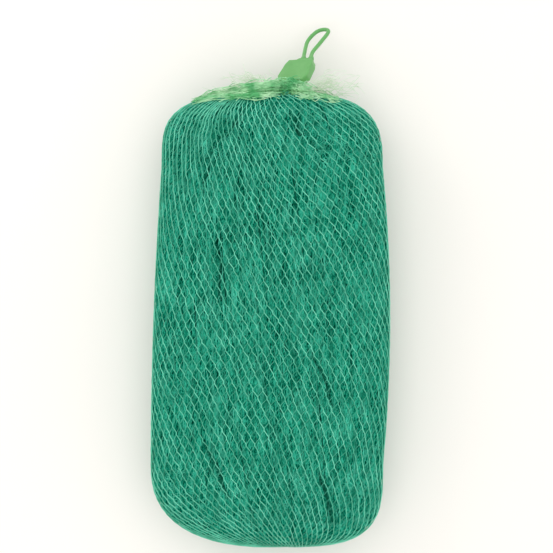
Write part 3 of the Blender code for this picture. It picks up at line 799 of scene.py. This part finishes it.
def crimp_rings():
    """Metal band pressed in at six places, its edges rolled over."""
    low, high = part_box("foot_crimp")
    outer = (high.x - low.x) / 2
    inner = outer - CRIMP_WALL
    middle_y = (low.y + high.y) / 2
    half = (high.y - low.y) / 2
    turn = np.linspace(0, 2 * math.pi, 73)[:-1]
    press = 1.0 - PRESS_DEPTH * np.cos(CRIMP_PRESSES * turn) ** 4
    bend = np.linspace(0, 2 * math.pi, 17)[:-1]
    rings = []
    for angle in bend:
        wide = math.copysign(abs(math.cos(angle)) ** 0.5, math.cos(angle))
        tall = math.copysign(abs(math.sin(angle)) ** 0.5, math.sin(angle))
        radius = ((outer + inner) / 2 + (outer - inner) / 2 * wide) * press
        x = FOOT_FOCUS[0] + radius * np.cos(turn)
        z = FOOT_FOCUS[1] + radius * np.sin(turn)
        rings.append(np.stack([x, np.full_like(x, middle_y + half * tall), z], axis=-1))
    return np.array(rings)


def crimp_faces(ring_count, ring_points):
    """Faces that join each ring to the next, right round the band's wall."""
    faces = []
    for i in range(ring_count):
        after_i = (i + 1) % ring_count
        for j in range(ring_points):
            after_j = (j + 1) % ring_points
            faces.append((
                i * ring_points + j, i * ring_points + after_j,
                after_i * ring_points + after_j, after_i * ring_points + j,
            ))
    return faces


loose_net = net_material("loose_net_plastic", LOOSE_GREEN, LOOSE_PALE)
foot_gather = strand_mesh("foot_gather_strands", foot_gather_lines(), GATHER_STRAND, loose_net)
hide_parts("net_foot_gather")
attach(foot_gather, "bag")

rings = crimp_rings()
crimp = mesh_object(
    "pressed_foot_crimp", rings, crimp_faces(*rings.shape[:2]), crimp_material()
)
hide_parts("foot_crimp")
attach(crimp, "bag")


# Neck of the net: the tube is drawn together at the top, turned towards the clip and pinched
# in its mouth. The bunch bends between the neck and the clip.

NECK_STRANDS = 90
NECK_STRAND = 0.00032
MOUTH_BEHIND_NOD = 0.0033       # the clip's mouth, past the nod axis
MOUTH_HALF = (0.0072, 0.0013)   # half width and half thickness of the bunch in the mouth
NECK_START = (0.0044, -0.0046)  # radius inside the opening, and its place before the sway axis
NECK_WAIST = 0.0040             # radius at the sway axis
NECK_BELLY = (0.0062, 0.0034)   # half width and half thickness between neck and clip
BELLY_PLACE = 0.004
STRAND_STRAY = 0.0003
MOUTH_PLACE = (0.0006, -0.0006)     # in the clip's mouth: how far in, and height
INSIDE_PLACE = (0.0040, -0.0012)    # where the strands end inside it
INSIDE_HALF = 0.0005            # half thickness there

joints = {joint["name"]: joint for joint in frame["joints"]}
clip_x = Vector(joints["clip_nod"]["axis"]).normalized()
clip_y = Vector(joints["plug_slide"]["axis"]).normalized()
clip_z = clip_x.cross(clip_y)
clip_mouth = Vector(joints["clip_nod"]["pos_m"]) + clip_y * MOUTH_BEHIND_NOD
neck_middle = Vector(joints["neck_sway"]["pos_m"])
clip_turn = Matrix((clip_x, clip_y, clip_z)).transposed()


def in_clip(x, y, z):
    """Point given in the clip's own frame."""
    return clip_mouth + clip_turn @ Vector((x, y, z))


def neck_lines():
    """Strands from inside the neck opening, through the ball, into the clip's mouth."""
    rng = np.random.default_rng(53)
    lines = []
    for _ in range(NECK_STRANDS):
        turn = rng.uniform(0, 2 * math.pi)
        depth = rng.uniform(0.2, 1.0) ** 0.5
        cosine, sine = math.cos(turn) * depth, math.sin(turn) * depth
        start = neck_middle + Vector((cosine * NECK_START[0], NECK_START[1], sine * NECK_START[0]))
        waist = neck_middle + Vector((cosine * NECK_WAIST, 0.0, sine * NECK_WAIST))
        belly = neck_middle + clip_y * BELLY_PLACE + clip_x * cosine * NECK_BELLY[0]
        belly = belly + clip_z * sine * NECK_BELLY[1]
        across = cosine * MOUTH_HALF[0]
        mouth = in_clip(across, MOUTH_PLACE[0], sine * MOUTH_HALF[1] + MOUTH_PLACE[1])
        inside = in_clip(across, INSIDE_PLACE[0], sine * INSIDE_HALF + INSIDE_PLACE[1])
        bend = Vector(rng.normal(0, STRAND_STRAY, 3))
        lines.append([start, waist + bend, belly + bend * 2, mouth, inside])
    return smooth_lines(np.array(lines), 5)


neck_bunch = strand_mesh("neck_bunch_strands", neck_lines(), NECK_STRAND, loose_net)
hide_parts("net_neck")
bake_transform(neck_bunch)


# Gathered net round the neck: the slack of the tube is drawn from both shoulders to the neck
# in flat draped arcs, most of it from the left.

DRAPE_STRAND = 0.00026
SLACK_GREEN = (0.130, 0.540, 0.210, 1.0)
SLACK_PALE = (0.560, 0.890, 0.570, 1.0)
DRAPE_END = (0.0035, 0.0010, 0.0026)    # how far the arcs' ends scatter at the neck
DRAPE_STRAY = (0.0004, 0.0005, 0.0008)
# Arcs: how many, seed, places round and along the tube, bow towards the clip, bow upward
DRAPES = (
    (110, 71, (0.27, 0.56), (0.925, 0.985), (-0.001, 0.0035), (-0.002, 0.006)),
    (70, 72, (-0.05, 0.22), (0.925, 0.985), (-0.002, 0.003), (-0.002, 0.005)),
    (80, 73, (0.58, 0.95), (0.90, 0.985), (-0.002, 0.004), (-0.004, 0.002)),
)
BAND_DROP = 0.0062              # how far the band hangs over the shoulder
BAND_RAGGED = 0.0011            # how ragged its lower edge is
BAND_SLOPE = 0.0016             # how far a strand waves up and down
SHORTEST_BAND = 0.55            # as a share of the way to the neck
BAND_LAYERS = (0.0004, 0.0026)  # height above the net
BAND_STRAY = 0.0004
# Bands: how many, seed, X of the far and near ends, top edge at both, from the bag's top edge
BANDS = (
    (150, 74, -0.056, 0.008, (-0.0025, 0.0085)),
    (50, 75, 0.050, 0.017, (-0.0045, 0.0045)),
)


def drape_lines(count, seed, place_range, along_range, rise, sag):
    """Arcs over the shoulder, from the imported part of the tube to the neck."""
    rng = np.random.default_rng(seed)
    focus = np.array([NECK_FOCUS[0], BAG_LENGTH + foot_y, NECK_FOCUS[1]])
    lines = []
    for _ in range(count):
        around = rng.uniform(*place_range)
        along = rng.uniform(*along_range)
        start = on_surface(grid, np.array(around), np.array(along))
        end = focus + rng.normal(0, 1, 3).clip(-1.6, 1.6) * DRAPE_END
        lift = rng.uniform(*rise)
        points = [start]
        for part in (0.2, 0.4, 0.6, 0.8):
            bow = math.sin(part * math.pi) * lift
            waver = rng.normal(0, 1, 3) * DRAPE_STRAY
            hang = (0.0, bow, rng.uniform(*sag) * math.sin(part * math.pi))
            points.append(start + (end - start) * part + hang + waver)
        points.append(end)
        lines.append(points)
    return smooth_lines(np.array(lines), 7)


def top_of_net(x, y):
    """Height of the net's upper side over a point of the shoulders."""
    share = np.clip((y - foot_y - BAG_LENGTH + SHOULDER_ROUND) / SHOULDER_ROUND, 0.0, 0.995)
    corner = SHOULDER_CORNERS[0] if x < NECK_FOCUS[0] else SHOULDER_CORNERS[1]
    straight_x = NECK_FOCUS[0] + (x - NECK_FOCUS[0]) / shrink(share, corner)
    across = min(1.0, abs(straight_x) / (WIDTHS[2] / 2))
    straight_z = bag_middle + bag_middle * shrink(across, SIDE_CORNER)
    return NECK_FOCUS[1] + (straight_z - NECK_FOCUS[1]) * shrink(share, END_CORNER)


def band_lines(count, seed, far_x, near_x, tops):
    """Slack strands that rise off the shoulder and run flat along the top edge to the neck."""
    rng = np.random.default_rng(seed)
    crest = BAG_LENGTH + foot_y
    lines = []
    for _ in range(count):
        level = rng.uniform(0, 1)
        begin = far_x + (near_x - far_x) * rng.uniform(0, 0.80) ** 1.3
        finish = begin + (near_x - begin) * rng.uniform(SHORTEST_BAND, 1.0)
        slope = rng.normal(0, BAND_SLOPE)
        phase = rng.uniform(0, 2 * math.pi)
        layer = rng.uniform(*BAND_LAYERS)
        ragged = rng.normal(0, BAND_RAGGED)
        points = []
        for part in np.linspace(0, 1, 9):
            x = begin + (finish - begin) * part
            reach = np.clip((x - far_x) / (near_x - far_x), 0, 1)
            bottom = crest - BAND_DROP * (1 - 0.30 * reach) + ragged
            top = crest + tops[0] + (tops[1] - tops[0]) * reach ** 0.55
            thick = level * min(1.0, 0.45 + 2.0 * part)
            y = bottom + (top - bottom) * thick + slope * math.sin(phase + part * 5.0)
            z = top_of_net(x, min(y, crest - 0.0004)) + layer
            points.append(np.array([x, y, z]) + rng.normal(0, BAND_STRAY, 3))
        lines.append(points)
    return smooth_lines(np.array(lines), 4)


drapes = strand_mesh(
    "neck_drape_strands", np.concatenate([drape_lines(*row) for row in DRAPES]), DRAPE_STRAND,
    loose_net, sides=5,
)
bands = strand_mesh(
    "neck_band_strands", np.concatenate([band_lines(*row) for row in BANDS]), DRAPE_STRAND,
    net_material("slack_net_plastic", SLACK_GREEN, SLACK_PALE), sides=5,
)
for gathered in (drapes, bands):
    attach(gathered, "bag")


# Ruffle under the clip: a handful of the tube's slack is bunched in front of the neck, its
# holes crumpled into small loops.

RUFFLE_LOOPS = 150
RUFFLE_LOW = (-0.0050, 0.1325, 0.0540)      # corners of the space it fills
RUFFLE_HIGH = (0.0290, 0.1455, 0.0600)
RUFFLE_DIP = 0.0035             # how far its two sides lie lower than its middle
LOOP_HALF_LENGTHS = (0.003, 0.008)
LOOP_BOWS = (0.0004, 0.0016)
LOOP_STRAY = 0.0004
RUFFLE_GREEN = (0.080, 0.470, 0.170, 1.0)
RUFFLE_PALE = (0.480, 0.900, 0.520, 1.0)


def ruffle_lines():
    """Small crumpled loops, more of them near the clip's mouth."""
    rng = np.random.default_rng(91)
    low, high = np.array(RUFFLE_LOW), np.array(RUFFLE_HIGH)
    lines = []
    for _ in range(RUFFLE_LOOPS):
        share = rng.normal(0.5, 0.22, 3).clip(0.02, 0.98)
        middle = low + (high - low) * share
        middle[2] -= RUFFLE_DIP * abs(share[0] - 0.5) * 2
        heading = rng.uniform(-0.6, 0.6) + (0.5 - share[0]) * 1.2
        run = np.array([math.cos(heading), math.sin(heading), rng.normal(0, 0.25)])
        side = np.array([-run[1], run[0], rng.normal(0, 0.4)])
        half_length = rng.uniform(*LOOP_HALF_LENGTHS)
        points = []
        for part in np.linspace(-1, 1, 7):
            bow = (1 - part ** 2) * rng.uniform(*LOOP_BOWS)
            stray = rng.normal(0, LOOP_STRAY, 3)
            points.append(middle + run * part * half_length + side * bow + stray)
        lines.append(points)
    return smooth_lines(np.array(lines), 4)


ruffle_net = net_material("ruffle_net_plastic", RUFFLE_GREEN, RUFFLE_PALE)
ruffle = strand_mesh("neck_ruffle_strands", ruffle_lines(), DRAPE_STRAND, ruffle_net, sides=5)
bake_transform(ruffle)


# Loose ends of the net: the tube was cut off past the clip, and the frayed ends of its
# strands stand out to both sides of the neck as two thin fans.

TAIL_STRAND = 0.00014
TAIL_GREEN = (0.580, 0.760, 0.520, 1.0)
TAIL_PALE = (0.850, 0.920, 0.790, 1.0)
TAIL_ROOT = (0.0045, 0.0022, 0.0016)    # how far the roots scatter
TAIL_TIP = (0.0015, 0.0015, 0.0015)     # and the tips
TAIL_WAVE = 0.1                 # sideways, as a share of a strand's length
SHORTEST_TAIL = 0.45            # as a share of the way to the outline
TAIL_ARCH = 0.003               # how far the strands arch up on their way
TAIL_RAISE = 0.003              # tips above the design's lowest point
# Outlines that the fans reach out to, as (X, Y) from left to right and then down
LEFT_OUTLINE = (
    (-0.058, 0.138), (-0.0435, 0.1445), (-0.033, 0.151), (-0.022, 0.156), (-0.004, 0.158),
)
RIGHT_OUTLINE = (
    (0.050, 0.1545), (0.061, 0.153), (0.068, 0.146), (0.0716, 0.1386), (0.062, 0.133),
)
# Fans: side, root, outline, strands, seed
TAILS = (
    ("left", (-0.001, 0.139, 0.052), LEFT_OUTLINE, 48, 81),
    ("right", (0.025, 0.1375, 0.052), RIGHT_OUTLINE, 42, 82),
)


def tail_lines(root, outline, height, count, seed):
    """Thin strands that fan out from the root to an outline of (X, Y) points."""
    rng = np.random.default_rng(seed)
    outline = np.array(outline)
    place = np.linspace(0, 1, len(outline))
    lines = []
    for _ in range(count):
        share = rng.uniform(0, 1)
        reach = rng.uniform(SHORTEST_TAIL, 1.0)
        tip_x = np.interp(share, place, outline[:, 0])
        tip_y = np.interp(share, place, outline[:, 1])
        start = np.array(root) + rng.normal(0, 1, 3).clip(-1.8, 1.8) * TAIL_ROOT
        tip = start + (np.array([tip_x, tip_y, height]) - start) * reach
        tip = tip + rng.normal(0, 1, 3) * TAIL_TIP
        side = np.array([-(tip - start)[1], (tip - start)[0], 0.0]) * TAIL_WAVE
        wave = rng.normal(0, 1, 4)
        points = [start]
        for k, part in enumerate((0.3, 0.55, 0.8)):
            lift = np.array([0.0, 0.0, TAIL_ARCH * math.sin(part * math.pi)])
            points.append(start + (tip - start) * part + side * wave[k] + lift)
        points.append(tip)
        lines.append(points)
    return smooth_lines(np.array(lines), 6)


tail_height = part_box("net_tail_left")[0].z + TAIL_RAISE
tail_net = net_material("frayed_net_plastic", TAIL_GREEN, TAIL_PALE)
for side, root, outline, count, seed in TAILS:
    tail = strand_mesh(
        f"{side}_tail_strands", tail_lines(root, outline, tail_height, count, seed),
        TAIL_STRAND, tail_net, sides=5,
    )
    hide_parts(f"net_tail_{side}")
    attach(tail, "bag")


# Closing clip: a flat moulded housing with a toothed wedge plug pushed into it, both in
# satin green plastic with a faint orange-peel skin.

CLIP_GREEN = (0.128, 0.410, 0.115, 1.0)
CLIP_LIGHT = (0.152, 0.443, 0.137, 1.0)
FLOW_GRAIN = (0.009, 0.014, 0.009)
PEEL_GRAIN = (0.0005, 0.0005, 0.0005)
PEEL_DEPTH = 0.00003


def clip_material():
    """Moulded polypropylene with soft flow marks, a little light passing into it."""
    material, tree, shader = start_material("clip_plastic", 0.42)
    flow = add_noise(tree, FLOW_GRAIN, detail=2.0)
    color = add_ramp(tree, flow, [(0.35, CLIP_GREEN), (0.65, CLIP_LIGHT)])
    tree.links.new(color, shader.inputs["Base Color"])
    peel = add_noise(tree, PEEL_GRAIN, detail=2.0)
    add_bump(tree, shader, peel, PEEL_DEPTH)
    shader.inputs["Subsurface Weight"].default_value = 0.15
    shader.inputs["Subsurface Radius"].default_value = (0.4, 1.0, 0.4)
    shader.inputs["Subsurface Scale"].default_value = 0.0015
    return material


clip_plastic = clip_material()
for node in ("clip_housing", "clip_plug"):
    frame["nodes"][node].data.materials.clear()
    frame["nodes"][node].data.materials.append(clip_plastic)


# Net end in the clip: past the mouth the bunched net lies flat in the housing's pocket, in
# two layers, and the plug's teeth hold it there.

PINCHED_STRANDS = 46
PINCHED_STRAND = 0.00022
PINCHED_STRAY = 0.00022
PINCHED_HALF_WIDTH = 0.0074
PINCHED_START = 0.0008          # from the clip's mouth
PINCHED_END = 0.0152
PINCHED_LAYERS = (-0.00132, -0.00098)


def pinched_lines():
    """Two flat layers of strands, from the mouth to the end of the pocket."""
    rng = np.random.default_rng(97)
    lines = []
    for strand in range(PINCHED_STRANDS):
        x = (2 * (strand + 0.5) / PINCHED_STRANDS - 1) * PINCHED_HALF_WIDTH
        z = PINCHED_LAYERS[strand % 2]
        end = PINCHED_END * rng.uniform(0.82, 1.0)
        points = []
        for y in np.linspace(PINCHED_START, end, 7):
            place = x + rng.normal(0, PINCHED_STRAY)
            place = np.clip(place, -PINCHED_HALF_WIDTH, PINCHED_HALF_WIDTH)
            points.append(in_clip(place, y, z))
        lines.append(points)
    return smooth_lines(np.array(lines), 3)


pinched = strand_mesh("pinched_net_strands", pinched_lines(), PINCHED_STRAND, loose_net)
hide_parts("net_pinch")
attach(pinched, "clip")


# Hanging loop: a soft strap moulded in one piece with the plug's head. It leaves the head in
# two flared roots, bows out and closes in a long narrow eye.

# The strap's middle line, across and along the clip, from the roots
LOOP_ROUTE = (
    (-0.0030, 0.0), (-0.0050, 0.0065), (-0.0078, 0.0195), (-0.0046, 0.0292),
    (0.0013, 0.0316), (0.0060, 0.0286), (0.0044, 0.0185), (0.0018, 0.0070), (0.0034, 0.0),
)
STRAP_RADIUS = 0.0014
ROOT_FLARE = 0.0009
FLARE_LENGTH = 0.0032


def loop_strap():
    """The strap's middle line, in place, and its radius along the line."""
    roots = Vector(joints["loop_flex"]["pos_m"])
    points = [roots + clip_x * x + clip_y * y for x, y in LOOP_ROUTE]
    head = clip_y * STRAP_RADIUS
    points = [points[0] - head] + points + [points[-1] - head]
    line = smooth_lines(np.array([points]), 12)
    steps = np.linalg.norm(np.diff(line[0], axis=0), axis=1)
    place = np.concatenate([[0.0], np.cumsum(steps)])
    nearest_end = np.minimum(place, place[-1] - place)
    radius = STRAP_RADIUS + ROOT_FLARE * np.exp(-((nearest_end / FLARE_LENGTH) ** 2))
    return line, radius[None, :]


strap_line, strap_radius = loop_strap()
strap = strand_mesh("hanging_loop_strap", strap_line, strap_radius, clip_plastic, sides=20)
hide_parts("hanging_loop")
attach(strap, "loop")
